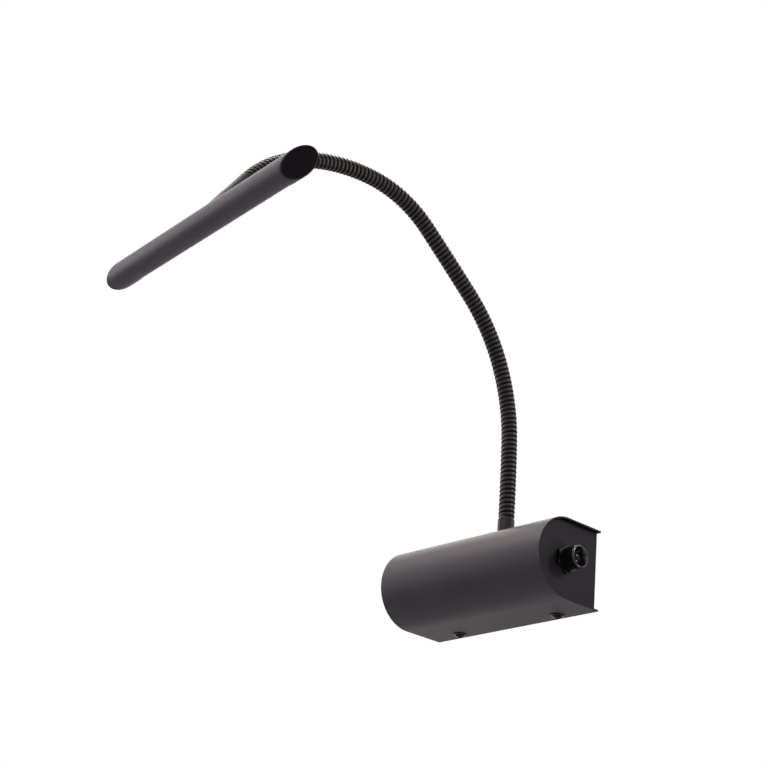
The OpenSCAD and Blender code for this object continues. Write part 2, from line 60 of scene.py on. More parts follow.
bpy.context.scene.view_settings.view_transform = "Standard"

# Studio.
# A white surround, a pale floor well below the lamp, and soft boxes: a warm one high in front, a large one
# at the left, a weak one low behind and a large warm one high behind. One overhead and two small ones at
# the switch end add the glints.
surround_glow, floor_wide, floor_level = 0.25, 9, -0.8
lamp_middle = Vector((0, -0.12, 0.1))
world = bpy.data.worlds.new("white_surround")
bpy.context.scene.world = world
world.use_nodes = True
tree = world.node_tree
tree.nodes.clear()
seen = tree.nodes.new("ShaderNodeBackground")
seen.inputs["Color"].default_value = (1, 1, 1, 1)
seen.inputs["Strength"].default_value = 1
glow = tree.nodes.new("ShaderNodeBackground")
glow.inputs["Color"].default_value = (1, 1, 1, 1)
glow.inputs["Strength"].default_value = surround_glow
rays = tree.nodes.new("ShaderNodeLightPath")
either = tree.nodes.new("ShaderNodeMath")
either.operation = "MAXIMUM"
tree.links.new(rays.outputs["Is Camera Ray"], either.inputs[0])
tree.links.new(rays.outputs["Is Glossy Ray"], either.inputs[1])
any_of_three = tree.nodes.new("ShaderNodeMath")
any_of_three.operation = "MAXIMUM"
tree.links.new(either.outputs[0], any_of_three.inputs[0])
tree.links.new(rays.outputs["Is Transmission Ray"], any_of_three.inputs[1])
blend_sky = tree.nodes.new("ShaderNodeMixShader")
tree.links.new(any_of_three.outputs[0], blend_sky.inputs["Fac"])
tree.links.new(glow.outputs[0], blend_sky.inputs[1])
tree.links.new(seen.outputs[0], blend_sky.inputs[2])
sky = tree.nodes.new("ShaderNodeOutputWorld")
tree.links.new(blend_sky.outputs[0], sky.inputs["Surface"])

bpy.ops.object.select_all(action="DESELECT")
bpy.ops.mesh.primitive_plane_add(size=floor_wide, location=(0, 0, floor_level))
floor = bpy.context.object
floor.name = "studio_floor"
floor_paint = bpy.data.materials.new("pale_floor")
floor_paint.use_nodes = True
floor_skin = floor_paint.node_tree.nodes["Principled BSDF"]
floor_skin.inputs["Base Color"].default_value = (0.72, 0.72, 0.71, 1)
floor_skin.inputs["Roughness"].default_value = 0.9
floor.data.materials.append(floor_paint)


def soft_box(name, spot, width, watts, colour=(1, 1, 1)):
    # A round soft box that faces the middle of the lamp.
    bpy.ops.object.light_add(type="AREA", location=spot)
    light = bpy.context.object
    light.name = name
    light.data.shape = "DISK"
    light.data.size = width
    light.data.energy = watts
    light.data.color = colour
    light.rotation_mode = "QUATERNION"
    light.rotation_quaternion = (lamp_middle - Vector(spot)).to_track_quat("-Z", "Y")


soft_box("soft_box_front", (-0.73, -0.85, 1.33), width=0.9, watts=18, colour=(1, 0.87, 0.78))
soft_box("soft_box_left", (-2.6, -1.1, 0.75), width=1.7, watts=16)
soft_box("soft_box_low", (-0.6, 0.43, -0.31), width=0.3, watts=0.12)
soft_box("soft_box_back", (-0.73, 0.61, 1.33), width=1.4, watts=9.5, colour=(1, 0.86, 0.79))
soft_box("glint_top", (-0.3, 0.08, 1.4), width=0.6, watts=8)
soft_box("glint_right_high", (0.83, 0.46, 0.42), width=0.06, watts=1.8)
soft_box("glint_right_low", (0.85, 0.5, -0.32), width=0.07, watts=3)

# Chassis.
# A tray of 1.5 mm steel sheet with an end plate bent up at each side and two tapped tabs for the cover's
# screws. It is painted gunmetal, darker than the cover's partly as painted shade, and screwed flat to the
# wall, where only its end plates show, set back in the cover.


def satin_coat(name, colour, shade, rough, grain, depth, shine=0.22):
    # Baked satin paint: a faint cloud in the colour, a patchy sheen and the fine orange peel of spraying.
    paint = bpy.data.materials.new(name)
    paint.use_nodes = True
    nodes, links = paint.node_tree.nodes, paint.node_tree.links
    skin = nodes["Principled BSDF"]
    skin.inputs["Specular IOR Level"].default_value = shine
    where = nodes.new("ShaderNodeTexCoord")
    cloud = nodes.new("ShaderNodeTexNoise")
    cloud.inputs["Scale"].default_value = 38
    cloud.inputs["Detail"].default_value = 4
    links.new(where.outputs["Object"], cloud.inputs["Vector"])
    tint = nodes.new("ShaderNodeValToRGB")
    tint.color_ramp.elements[0].position = 0.3
    tint.color_ramp.elements[0].color = (*shade, 1)
    tint.color_ramp.elements[1].position = 0.7
    tint.color_ramp.elements[1].color = (*colour, 1)
    links.new(cloud.outputs["Fac"], tint.inputs["Fac"])
    links.new(tint.outputs["Color"], skin.inputs["Base Color"])
    peel = nodes.new("ShaderNodeTexNoise")
    peel.inputs["Scale"].default_value = 1 / grain
    peel.inputs["Detail"].default_value = 2
    links.new(where.outputs["Object"], peel.inputs["Vector"])
    sheen = nodes.new("ShaderNodeMapRange")
    sheen.inputs["To Min"].default_value = rough - 0.05
    sheen.inputs["To Max"].default_value = rough + 0.06
    links.new(peel.outputs["Fac"], sheen.inputs["Value"])
    links.new(sheen.outputs["Result"], skin.inputs["Roughness"])
    skin_bump = nodes.new("ShaderNodeBump")
    skin_bump.inputs["Strength"].default_value = 0.35
    skin_bump.inputs["Distance"].default_value = depth
    links.new(peel.outputs["Fac"], skin_bump.inputs["Height"])
    links.new(skin_bump.outputs["Normal"], skin.inputs["Normal"])
    return paint


def dress(node, finish):
    # Gives a piece of the source its finish.
    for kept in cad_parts[node].material_slots:
        kept.material = finish


# The chassis gunmetal is darker than the cover's: partly its own colour, partly painted shade for the end
# plates that face away from the light.
chassis_paint_with_shade = satin_coat("gunmetal_chassis_with_shade", (0.0145, 0.0108, 0.0153), (0.012, 0.009, 0.0128),
                           rough=0.5, grain=0.0006, depth=0.00001, shine=0.1)
dress("chassis", chassis_paint_with_shade)
# The outside of each bend by the wall is coloured nearly black: painted shade, for the shade that lies
# there.
bend_painted_shade = satin_coat("chassis_bend_painted_shade", (0.0018, 0.0014, 0.0019), (0.0014, 0.0011, 0.0015),
                        rough=0.6, grain=0.0006, depth=0.00001, shine=0)
bend_deep, bend_side = 0.0019, 0.0676
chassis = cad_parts["chassis"]
chassis.data.materials.append(bend_painted_shade)
for face in chassis.data.polygons:
    middle = chassis.matrix_world @ face.center
    if abs(middle.x) > bend_side and middle.y > -bend_deep:
        face.material_index = len(chassis.data.materials) - 1

# Wiring inside the base.
# A white LED driver case and a nylon terminal block sit on the chassis behind the cover, with a rubber
# grommet where the supply comes out of the wall. Zinc plated screws and nuts hold the driver, the switch
# and the neck.


def moulded(name, colour, rough, grain, depth, shine=0.5):
    # Moulded plastic or rubber: one colour with a fine spark-eroded texture and slightly uneven gloss.
    plastic = bpy.data.materials.new(name)
    plastic.use_nodes = True
    nodes, links = plastic.node_tree.nodes, plastic.node_tree.links
    skin = nodes["Principled BSDF"]
    skin.inputs["Specular IOR Level"].default_value = shine
    where = nodes.new("ShaderNodeTexCoord")
    erode = nodes.new("ShaderNodeTexVoronoi")
    erode.inputs["Scale"].default_value = 1 / grain
    links.new(where.outputs["Object"], erode.inputs["Vector"])
    flow = nodes.new("ShaderNodeTexNoise")
    flow.inputs["Scale"].default_value = 60
    links.new(where.outputs["Object"], flow.inputs["Vector"])
    tint = nodes.new("ShaderNodeValToRGB")
    tint.color_ramp.elements[0].color = (*[c * 0.88 for c in colour], 1)
    tint.color_ramp.elements[1].color = (*colour, 1)
    tint.color_ramp.elements[0].position = 0.35
    tint.color_ramp.elements[1].position = 0.65
    links.new(flow.outputs["Fac"], tint.inputs["Fac"])
    links.new(tint.outputs["Color"], skin.inputs["Base Color"])
    gloss = nodes.new("ShaderNodeMapRange")
    gloss.inputs["To Min"].default_value = rough * 0.9
    gloss.inputs["To Max"].default_value = min(1, rough * 1.15)
    links.new(flow.outputs["Fac"], gloss.inputs["Value"])
    links.new(gloss.outputs["Result"], skin.inputs["Roughness"])
    pits = nodes.new("ShaderNodeBump")
    pits.inputs["Strength"].default_value = 0.4
    pits.inputs["Distance"].default_value = depth
    links.new(erode.outputs["Distance"], pits.inputs["Height"])
    links.new(pits.outputs["Normal"], skin.inputs["Normal"])
    return plastic


def bare_metal(name, colour, rough, stretch):
    # Plated, drawn or extruded metal: fine lines, drawn out along one way where the stretch says so.
    metal = bpy.data.materials.new(name)
    metal.use_nodes = True
    nodes, links = metal.node_tree.nodes, metal.node_tree.links
    skin = nodes["Principled BSDF"]
    skin.inputs["Metallic"].default_value = 1
    where = nodes.new("ShaderNodeTexCoord")
    drawn = nodes.new("ShaderNodeMapping")
    drawn.inputs["Scale"].default_value = stretch
    links.new(where.outputs["Object"], drawn.inputs["Vector"])
    lines = nodes.new("ShaderNodeTexNoise")
    lines.inputs["Scale"].default_value = 900
    lines.inputs["Detail"].default_value = 3
    links.new(drawn.outputs["Vector"], lines.inputs["Vector"])
    tint = nodes.new("ShaderNodeValToRGB")
    tint.color_ramp.elements[0].position = 0.3
    tint.color_ramp.elements[0].color = (*[c * 0.8 for c in colour], 1)
    tint.color_ramp.elements[1].position = 0.7
    tint.color_ramp.elements[1].color = (*colour, 1)
    links.new(lines.outputs["Fac"], tint.inputs["Fac"])
    links.new(tint.outputs["Color"], skin.inputs["Base Color"])
    sheen = nodes.new("ShaderNodeMapRange")
    sheen.inputs["To Min"].default_value = rough - 0.06
    sheen.inputs["To Max"].default_value = rough + 0.08
    links.new(lines.outputs["Fac"], sheen.inputs["Value"])
    links.new(sheen.outputs["Result"], skin.inputs["Roughness"])
    scratch = nodes.new("ShaderNodeBump")
    scratch.inputs["Strength"].default_value = 0.2
    scratch.inputs["Distance"].default_value = 0.00002
    links.new(lines.outputs["Fac"], scratch.inputs["Height"])
    links.new(scratch.outputs["Normal"], skin.inputs["Normal"])
    return metal


driver_white = moulded("driver_case_white", (0.74, 0.74, 0.71), rough=0.5, grain=0.0007, depth=0.00003)
dress("led_driver", driver_white)
nylon = moulded("nylon_ivory", (0.68, 0.63, 0.50), rough=0.42, grain=0.0009, depth=0.00002)
dress("terminal_block", nylon)
rubber = moulded("grommet_rubber", (0.018, 0.018, 0.018), rough=0.75, grain=0.0005, depth=0.00003)
dress("cable_grommet", rubber)
housing_black = moulded("switch_housing_black", (0.02, 0.02, 0.021), rough=0.5, grain=0.0006, depth=0.00002)
dress("switch_housing", housing_black)
zinc = bare_metal("zinc_plate", (0.56, 0.56, 0.55), rough=0.34, stretch=(1, 1, 0.15))
for hidden in ("driver_screws", "switch_lock_nut", "switch_blades", "neck_washer", "neck_lock_nut"):
    dress(hidden, zinc)
coil_steel = bare_metal("spring_wire", (0.5, 0.5, 0.5), rough=0.28, stretch=(0.2, 1, 1))
dress("switch_spring", coil_steel)

# Cover.
# One strip of 1.2 mm steel, bent to a half round front with a flat top and bottom, open at both ends and
# painted gunmetal, its inside coloured near black as painted shade. It slips over the chassis, two screws
# from below hold it, and the neck's stud goes through a hole in its top.
cover_len, cover_r, cover_front = 0.145, 0.0275, 0.0325
cover_sheet, cover_back, front_steps = 0.0012, 0.0005, 56
screw_gap, screw_y, screw_d = 0.089, 0.0085, 0.004
foot_x, foot_y, stud_d = 0.0095, 0.0255, 0.008
hole_fit, hole_deep = 0.0002, 0.006
near, weld = 1e-5, 1e-6


def pick(piece):
    # Makes the piece the only selected one and the active one.
    bpy.ops.object.select_all(action="DESELECT")
    bpy.context.view_layer.objects.active = piece
    piece.select_set(True)


def settle():
    # Puts the place, turn and scale of what is selected into its mesh.
    bpy.ops.object.transform_apply(location=True, rotation=True, scale=True)


def choose_edges(piece, test):
    # Goes into edit mode with those edges of the active piece selected whose two ends pass the test.
    bpy.ops.object.mode_set(mode="EDIT")
    bpy.ops.mesh.select_mode(type="EDGE")
    bpy.ops.mesh.select_all(action="DESELECT")
    bpy.ops.object.mode_set(mode="OBJECT")
    points = piece.data.vertices
    for edge in piece.data.edges:
        edge.select = all(test(points[end].co) for end in edge.vertices)
    bpy.ops.object.mode_set(mode="EDIT")


def close_up():
    # Welds the seams of the active piece and turns its faces outward.
    bpy.ops.object.mode_set(mode="EDIT")
    bpy.ops.mesh.select_all(action="SELECT")
    bpy.ops.mesh.remove_doubles(threshold=weld)
    bpy.ops.mesh.normals_make_consistent(inside=False)
    bpy.ops.object.mode_set(mode="OBJECT")


def cut(piece, tool, how="DIFFERENCE"):
    # Cuts the piece with a tool, or keeps only what lies in it, and throws the tool away.
    pick(piece)
    step = piece.modifiers.new("cut", "BOOLEAN")
    step.object = tool
    step.operation = how
    step.solver = "EXACT"
    bpy.ops.object.modifier_apply(modifier=step.name)
    bpy.data.objects.remove(tool)


def soften(piece, width, smooth=35):
    # Breaks each edge that turns by more than so many degrees, and shades the rest smooth and even.
    pick(piece)
    edge = piece.modifiers.new("edge", "BEVEL")
    edge.width = width
    edge.segments = 2
    edge.limit_method = "ANGLE"
    edge.angle_limit = radians(smooth)
    bpy.ops.object.modifier_apply(modifier=edge.name)
    bpy.ops.object.shade_smooth_by_angle(angle=radians(smooth))
    even = piece.modifiers.new("even", "WEIGHTED_NORMAL")
    even.keep_sharp = True
    bpy.ops.object.modifier_apply(modifier=even.name)


def drill(radius, depth, spot, turn=(0, 0, 0)):
    # Makes the round tool for a hole.
    bpy.ops.object.select_all(action="DESELECT")
    bpy.ops.mesh.primitive_cylinder_add(vertices=48, radius=radius, depth=depth,
                                        location=spot, rotation=turn)
    return bpy.context.object


bpy.ops.object.select_all(action="DESELECT")
bpy.ops.mesh.primitive_plane_add(size=1, location=(0, -(cover_front + cover_back) / 2, cover_r))
cover = bpy.context.object
cover.name = "base_cover"
cover.scale = (cover_len, cover_front - cover_back, 1)
settle()
choose_edges(cover, lambda end: end.y < -cover_back * 2)
bpy.ops.mesh.spin(steps=front_steps, angle=pi, center=(0, -cover_front, 0), axis=(-1, 0, 0))
bpy.ops.object.mode_set(mode="OBJECT")
choose_edges(cover, lambda end: abs(end.y + cover_front) < near and end.z < 0)
bpy.ops.mesh.extrude_region_move(TRANSFORM_OT_translate={"value": (0, cover_front - cover_back, 0)})
bpy.ops.object.mode_set(mode="OBJECT")
close_up()
wall = cover.modifiers.new("sheet", "SOLIDIFY")
wall.thickness = cover_sheet
wall.offset = -1
bpy.ops.object.modifier_apply(modifier=wall.name)
for side in (-1, 1):
    cut(cover, drill(screw_d / 2 + hole_fit, hole_deep, (side * screw_gap / 2, -screw_y, -cover_r)))
cut(cover, drill(stud_d / 2 + hole_fit, hole_deep, (foot_x, -foot_y, cover_r)))
soften(cover, width=0.00015)
cover_paint = satin_coat("gunmetal_cover", (0.0395, 0.0331, 0.0462), (0.0337, 0.0283, 0.0395),
                         rough=0.46, grain=0.0007, depth=0.00001, shine=0.24)
inside_painted_shade = satin_coat("cover_inside_painted_shade", (0.006, 0.005, 0.006), (0.005, 0.004, 0.005),
                    rough=0.7, grain=0.0004, depth=0.00001, shine=0.05)
for finish in (cover_paint, inside_painted_shade, chassis_paint_with_shade):
    cover.data.materials.append(finish)
# The inside is coloured near black and the sheet's cut edges at both ends take the darker chassis paint:
# both are painted shade.
outside, inside, cut_edge_shade = 0, 1, 2
for face in cover.data.polygons:
    outwards = Vector((0, min(0, face.center.y + cover_front), face.center.z)).normalized()
    face.material_index = outside
    if abs(face.normal.x) > 0.9:
        face.material_index = cut_edge_shade
    elif face.normal.dot(outwards) < -0.5:
        face.material_index = inside
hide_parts("cover")
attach(cover, "base")

# Cover screws.
# Two M4 flanged button heads in black steel, with a 2.5 mm hex socket, driven up into the chassis tabs.
# Their shanks are plain, because the thread is hidden in the tabs.
flange_r, flange_t, screw_head_r, screw_head_h = 0.0048, 0.0007, 0.0038, 0.0018
shank_r, shank_len, shank_tip = screw_d / 2, 0.008, 0.0003
socket_af, socket_deep, second_turn = 0.0025, 0.0014, 0.5
screw_black = bare_metal("black_oxide", (0.014, 0.0125, 0.0135), rough=0.24, stretch=(1, 1, 1))


def turned(name, profile, sides=64, ring=False):
    # Turns a profile of (radius, height) steps on a lathe. A ring closes on itself, and anything else gets
    # end faces.
    bpy.ops.object.select_all(action="DESELECT")
    bpy.ops.mesh.primitive_circle_add(vertices=sides, radius=profile[0][0], location=(0, 0, profile[0][1]))
    piece = bpy.context.object
    piece.name = name
    settle()
    bpy.ops.object.mode_set(mode="EDIT")
    bpy.ops.mesh.select_mode(type="EDGE")
    bpy.ops.mesh.select_all(action="SELECT")
    if not ring:
        bpy.ops.mesh.edge_face_add()
        bpy.ops.mesh.select_all(action="SELECT")
    for (r0, z0), (r1, z1) in zip(profile, profile[1:]):
        bpy.ops.mesh.extrude_region_move(TRANSFORM_OT_translate={"value": (0, 0, z1 - z0)})
        bpy.ops.transform.resize(value=(r1 / r0, r1 / r0, 1), center_override=(0, 0, z1))
    bpy.ops.object.mode_set(mode="OBJECT")
    close_up()
    return piece


def dome(radius, foot, height, steps=8, flat=0.03):
    # Radii and heights up a low dome, ending in a small flat at its top.
    ball = (radius * radius + height * height) / (2 * height)
    wide = asin(radius / ball)
    leans = [wide * (1 - i / steps) + flat * i / steps for i in range(1, steps + 1)]
    return [(ball * sin(lean), foot + height - ball + ball * cos(lean)) for lean in leans]


def place(piece, spot):
    # Moves the piece to its spot and puts that into its mesh.
    pick(piece)
    piece.matrix_world = spot
    settle()


def join(piece, other):
    pick(piece)
    other.select_set(True)
    bpy.ops.object.join()


shank = [(shank_r - shank_tip, -shank_len), (shank_r, shank_tip - shank_len), (shank_r, 0)]
flange = [(flange_r, 0), (flange_r, flange_t), (screw_head_r, flange_t)]
screw = turned("cover_screw_pair", shank + flange + dome(screw_head_r, flange_t, screw_head_h), sides=48)
bpy.ops.mesh.primitive_cylinder_add(vertices=6, radius=socket_af / 2 / cos(pi / 6), depth=2 * socket_deep,
                                    location=(0, 0, flange_t + screw_head_h))
cut(screw, bpy.context.object)
soften(screw, width=0.00012, smooth=28)
other_screw = screw.copy()
other_screw.data = screw.data.copy()
bpy.context.collection.objects.link(other_screw)
place(screw, Matrix.Translation((-screw_gap / 2, -screw_y, -cover_r)) @ Matrix.Rotation(pi, 4, "X"))
place(other_screw, Matrix.Translation((screw_gap / 2, -screw_y, -cover_r)) @ Matrix.Rotation(pi, 4, "X")
      @ Matrix.Rotation(second_turn, 4, "Z"))
join(screw, other_screw)
screw.data.materials.append(screw_black)
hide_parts("cover_screws")
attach(screw, "base")

# Push switch.
# A glossy black moulded collar with a tapered mouth, held in the right end plate by a thin hex nut outside
# and a thicker one inside. The domed button slides in it on a spring and stands just inside the mouth.
plate_x, switch_y = 0.0695, 0.031
on_plate = Matrix.Translation((plate_x, -switch_y, 0)) @ Matrix.Rotation(pi / 2, 4, "Y")
nut_af, nut_t, nut_bevel = 0.017, 0.0025, 0.0008
collar_r, collar_len, rim_r = 0.0075, 0.0105, 0.0009
mouth_r, mouth_edge, recess = 0.0065, 0.0001, 0.0034
barrel_r, barrel_len, seat, stem_hole = 0.0063, 0.010, 0.001, 0.0025
button_r, button_gap, button_side, button_edge = 0.0042, 0.0003, 0.004, 0.0002
dome_h, button_stem_r, through = 0.0013, 0.0022, 0.02
front = nut_t + collar_len
gloss_black = moulded("gloss_black", (0.0065, 0.0046, 0.007),
                      rough=0.16, grain=0.0012, depth=0.000003, shine=0.6)
nut_black = moulded("nut_black", (0.0062, 0.0044, 0.0066),
                    rough=0.2, grain=0.0012, depth=0.000006, shine=0.2)
button_black = moulded("button_black", (0.0062, 0.0044, 0.0066),
                       rough=0.1, grain=0.0012, depth=0.000003, shine=0.1)


def bar(name, flats, across, height, taper, top_r, spare=0.001):
    # Cuts a length off a bar with flats and turns its upper corners down to a smaller radius. The turned
    # tool is larger than the bar by the spare.
    corner = across / 2 / cos(pi / flats)
    bpy.ops.object.select_all(action="DESELECT")
    bpy.ops.mesh.primitive_cylinder_add(vertices=flats, radius=corner, depth=height,
                                        location=(0, 0, height / 2), rotation=(0, 0, -pi / 2))
    piece = bpy.context.object
    piece.name = name
    settle()
    lean = (corner - top_r) / taper
    tool = turned("taper_tool", [(corner + spare, -spare), (corner + spare, height - taper - spare / lean),
                                 (top_r - spare * lean, height + spare)], sides=96)
    cut(piece, tool, "INTERSECT")
    return piece


def rounded(side_r, top, radius, steps=6):
    # Radii and heights round a quarter circle, from the side of a turned piece up to its top.
    turns = [pi / 2 * i / steps for i in range(steps + 1)]
    return [(side_r - radius + radius * cos(a), top - radius + radius * sin(a)) for a in turns]


ring_nut = bar("switch_ring", flats=6, across=nut_af, height=nut_t, taper=nut_bevel, top_r=nut_af / 2)
cut(ring_nut, drill(barrel_r + hole_fit, through, (0, 0, 0)))
soften(ring_nut, width=0.00015, smooth=30)
place(ring_nut, on_plate)
ring_nut.data.materials.append(nut_black)
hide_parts("switch_ring_nut")
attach(ring_nut, "base")

bore_r = button_r + button_gap
barrel = [(barrel_r, -barrel_len), (barrel_r, nut_t), (collar_r, nut_t)]
mouth = [(mouth_r + mouth_edge / 2, front), (mouth_r, front - mouth_edge), (bore_r, front - recess)]
bore = [(bore_r, -seat), (stem_hole, -seat), (stem_hole, -barrel_len), (barrel_r, -barrel_len)]
collar = turned("switch_collar", barrel + rounded(collar_r, front, rim_r) + mouth + bore, ring=True)
bpy.ops.object.shade_smooth_by_angle(angle=radians(35))
place(collar, on_plate)
collar.data.materials.append(gloss_black)
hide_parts("switch_bezel")
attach(collar, "base")

button_top = front - recess
button_foot = button_top - button_side
button_stem = [(button_stem_r, -barrel_len), (button_stem_r, button_foot)]
button_wall = [(button_r - button_edge, button_foot), (button_r, button_foot + button_edge),
               (button_r, button_top)]
button = turned("switch_cap", button_stem + button_wall + dome(button_r, button_top, dome_h, steps=14))
bpy.ops.object.shade_smooth_by_angle(angle=radians(30))
place(button, on_plate)
button.data.materials.append(button_black)
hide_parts("switch_button")
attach(button, "button")

# Foot nut of the neck.
# Turned from bar with eight flats, its top tapered down to the neck; its hollow stud goes through the cover
# and a washer and nut clamp it from inside. The neck is pressed and brazed into its top.
foot_af, foot_h, foot_taper, foot_top_r = 0.0106, 0.0145, 0.0027, 0.0049
stud_bore, stud_low, stud_top, foot_turn = 0.00225, -0.0093, 0.0005, radians(-8)
neck_foot = Matrix.Translation((foot_x, -foot_y, cover_r)) @ Matrix.Rotation(foot_turn, 4, "Z")
ferrule_paint = satin_coat("gunmetal_ferrule", (0.038, 0.0300, 0.0315), (0.032, 0.0252, 0.0265),
                           rough=0.4, grain=0.0005, depth=0.000008)


def sleeve(name, bore, radius, low, top, sides=64):
    # A plain turned sleeve.
    profile = [(bore, low), (radius, low), (radius, top), (bore, top), (bore, low)]
    return turned(name, profile, sides, ring=True)


foot_nut = bar("neck_foot_bar", flats=8, across=foot_af, height=foot_h, taper=foot_taper, top_r=foot_top_r)
soften(foot_nut, width=0.00018, smooth=20)
stud = sleeve("foot_stud", stud_bore, stud_d / 2, stud_low, stud_top)
bpy.ops.object.shade_smooth_by_angle(angle=radians(35))
join(foot_nut, stud)
place(foot_nut, neck_foot)
foot_nut.data.materials.append(ferrule_paint)
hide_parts("neck_foot_nut")
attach(foot_nut, "base")

# Gooseneck.
# A flexible tube wound from two wires: a round spring wire whose crests stand out, and a flat band that is
# wound into the gaps between them. It holds any bend by its own friction. Each of six lengths spans one
# joint.
pitch, ribs, neck_bends = 0.0032, 17, (2.5, 20.3, 23.6, 1.5, 37.5, 24, 35)
link_len = pitch * ribs
neck_len = link_len * len(neck_bends)
wire_r, wire_sides, crest_r = 0.0008, 10, 0.0056
band_r, band_inside, band_high, band_round = 0.0053, 0.0044, 0.0021, 0.0004
turn_steps, link_marks = 28, 24
# The spring wire is coloured near black, far darker than the band: partly its own dark steel, partly
# painted shade for the dark bands between the turns.
wire_black_and_shade = satin_coat("neck_wire_black", (0.006, 0.0048, 0.0052), (0.005, 0.004, 0.0043),
                        rough=0.5, grain=0.0004, depth=0.000006, shine=0.04)
band_steel = satin_coat("neck_band_bronze", (0.041, 0.0315, 0.0300), (0.035, 0.0267, 0.0254),
                        rough=0.36, grain=0.0004, depth=0.000003, shine=0.28)


def along_neck(run):
    # The spot on the neck's centre line that far above the foot nut, with Z along the neck.
    spot = neck_foot @ Matrix.Translation((0, 0, foot_h))
    for bend in neck_bends:
        part = min(max(run, 0), link_len)
        radius = link_len / radians(bend)
        turn = part / radius
        spot = (spot @ Matrix.Translation((0, -radius * (1 - cos(turn)), radius * sin(turn)))
                @ Matrix.Rotation(turn, 4, "X"))
        run -= part
    return spot @ Matrix.Translation((0, 0, run))


bpy.ops.object.select_all(action="DESELECT")
line = bpy.data.curves.new("neck_line", "CURVE")
line.dimensions = "3D"
line.use_deform_bounds = False
course = line.splines.new("POLY")
marks = link_marks * len(neck_bends)
course.points.add(marks)
for i in range(marks + 1):
    course.points[i].co = (*along_neck(neck_len * i / marks).translation, 1)
neck_line = bpy.data.objects.new("neck_line", line)
bpy.context.collection.objects.link(neck_line)


def slice_off(at, facing, fill=True):
    # Cuts through the active piece at a plane and keeps the side that the plane faces.
    bpy.ops.object.mode_set(mode="EDIT")
    bpy.ops.mesh.select_all(action="SELECT")
    bpy.ops.mesh.bisect(plane_co=at, plane_no=facing, use_fill=fill, clear_inner=True)
    bpy.ops.object.mode_set(mode="OBJECT")


def close_ends():
    # Fills the open ends of the active piece and turns its faces outward.
    bpy.ops.object.mode_set(mode="EDIT")
    bpy.ops.mesh.select_all(action="SELECT")
    bpy.ops.mesh.fill_holes(sides=0)
    bpy.ops.object.mode_set(mode="OBJECT")
    close_up()


def wound(profile, name, turns):
    # Winds a closed profile round the neck's axis for that many turns, trims what runs past the neck's two
    # ends and bends it along the neck.
    profile.name = name
    coil = profile.modifiers.new("wind", "SCREW")
    coil.axis = "Z"
    coil.angle = 2 * pi
    coil.screw_offset = pitch
    coil.iterations = turns
    coil.steps = coil.render_steps = turn_steps
    bpy.ops.object.modifier_apply(modifier=coil.name)
    close_ends()
    slice_off((0, 0, 0), (0, 0, 1))
    slice_off((0, 0, neck_len), (0, 0, -1))
    along = profile.modifiers.new("bend", "CURVE")
    along.object = neck_line
    along.deform_axis = "POS_Z"
    bpy.ops.object.modifier_apply(modifier=along.name)
    bpy.ops.object.shade_smooth_by_angle(angle=radians(40))
    return profile


def spring_wire(name, start, turns):
    bpy.ops.object.select_all(action="DESELECT")
    bpy.ops.mesh.primitive_circle_add(vertices=wire_sides, radius=wire_r, rotation=(pi / 2, 0, 0),
                                      location=(crest_r - wire_r, 0, start))
    settle()
    return wound(bpy.context.object, name, turns)


def flat_band(name, start, turns):
    bpy.ops.object.select_all(action="DESELECT")
    bpy.ops.mesh.primitive_plane_add(size=1, location=((band_r + band_inside) / 2, 0, start + pitch / 2),
                                     rotation=(pi / 2, 0, 0))
    band = bpy.context.object
    band.scale = (band_r - band_inside, band_high, 1)
    settle()
    choose_edges(band, lambda end: end.x > band_r - near)
    bpy.ops.mesh.select_mode(type="VERT")
    bpy.ops.mesh.bevel(offset=band_round, segments=3, affect="VERTICES")
    bpy.ops.mesh.select_all(action="SELECT")
    bpy.ops.mesh.delete(type="ONLY_FACE")
    bpy.ops.object.mode_set(mode="OBJECT")
    return wound(band, name, turns)


# Each length ends nine ribs past its joint, about midway to the next.
past_joint, end_ribs = 9, 1.6
joints = len(neck_bends) - 1
first_rib = [0] + [ribs * k + past_joint for k in range(1, joints)] + [ribs * len(neck_bends)]
for k in range(1, joints + 1):
    low, high = first_rib[k - 1], first_rib[k]
    # The first length begins a turn early and the last one ends a turn late, for the trimming.
    begin = low - (k == 1)
    turns = high + (k == joints) - begin
    start = along_neck((low + end_ribs) * pitch).translation
    end = along_neck((high - end_ribs) * pitch).translation
    stood_for = ["neck_link_%d" % k, "neck_core_%d" % k] + (["neck_link_7"] if k == joints else [])
    wire = spring_wire("neck_wire_%d" % k, begin * pitch, turns)
    wire.data.materials.append(wire_black_and_shade)
    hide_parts(*stood_for)
    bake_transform(wire)
    band = flat_band("neck_band_%d" % k, begin * pitch, turns)
    band.data.materials.append(band_steel)
    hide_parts(*stood_for)
    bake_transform(band)
bpy.data.objects.remove(neck_line)

# Upper ferrule and stem.
# A smooth turned ferrule takes the neck's upper end, and a thicker stem with a rounded shoulder carries
# the tube. The stem's foot is cut to a saddle, and its stud is screwed into the light carrier in the tube.
ferrule_r, ferrule_len, ferrule_bore, ferrule_edge = 0.0057, 0.020, 0.0025, 0.0003
stem_r, stem_len, stem_round, stem_bore, stem_low = 0.006, 0.032, 0.0014, 0.0016, 0.005
stem_stud_r, stem_stud_low, stem_stud_top = 0.003, 0.0016, 0.012
tube_out, saddle_fit, saddle_len = 0.0088, 0.0001, 0.06
neck_end = along_neck(neck_len)
tube_axis = ferrule_len + stem_len + tube_out
in_head = neck_end @ Matrix.Translation((0, 0, tube_axis)) @ Matrix.Rotation(pi, 4, "X")
ferrule_side = [(ferrule_r - ferrule_edge, 0), (ferrule_r, ferrule_edge), (ferrule_r, ferrule_len)]
ferrule_hole = [(ferrule_bore, ferrule_len), (ferrule_bore, 0)]
ferrule = turned("neck_top_sleeve", [(ferrule_bore, 0)] + ferrule_side + ferrule_hole, ring=True)
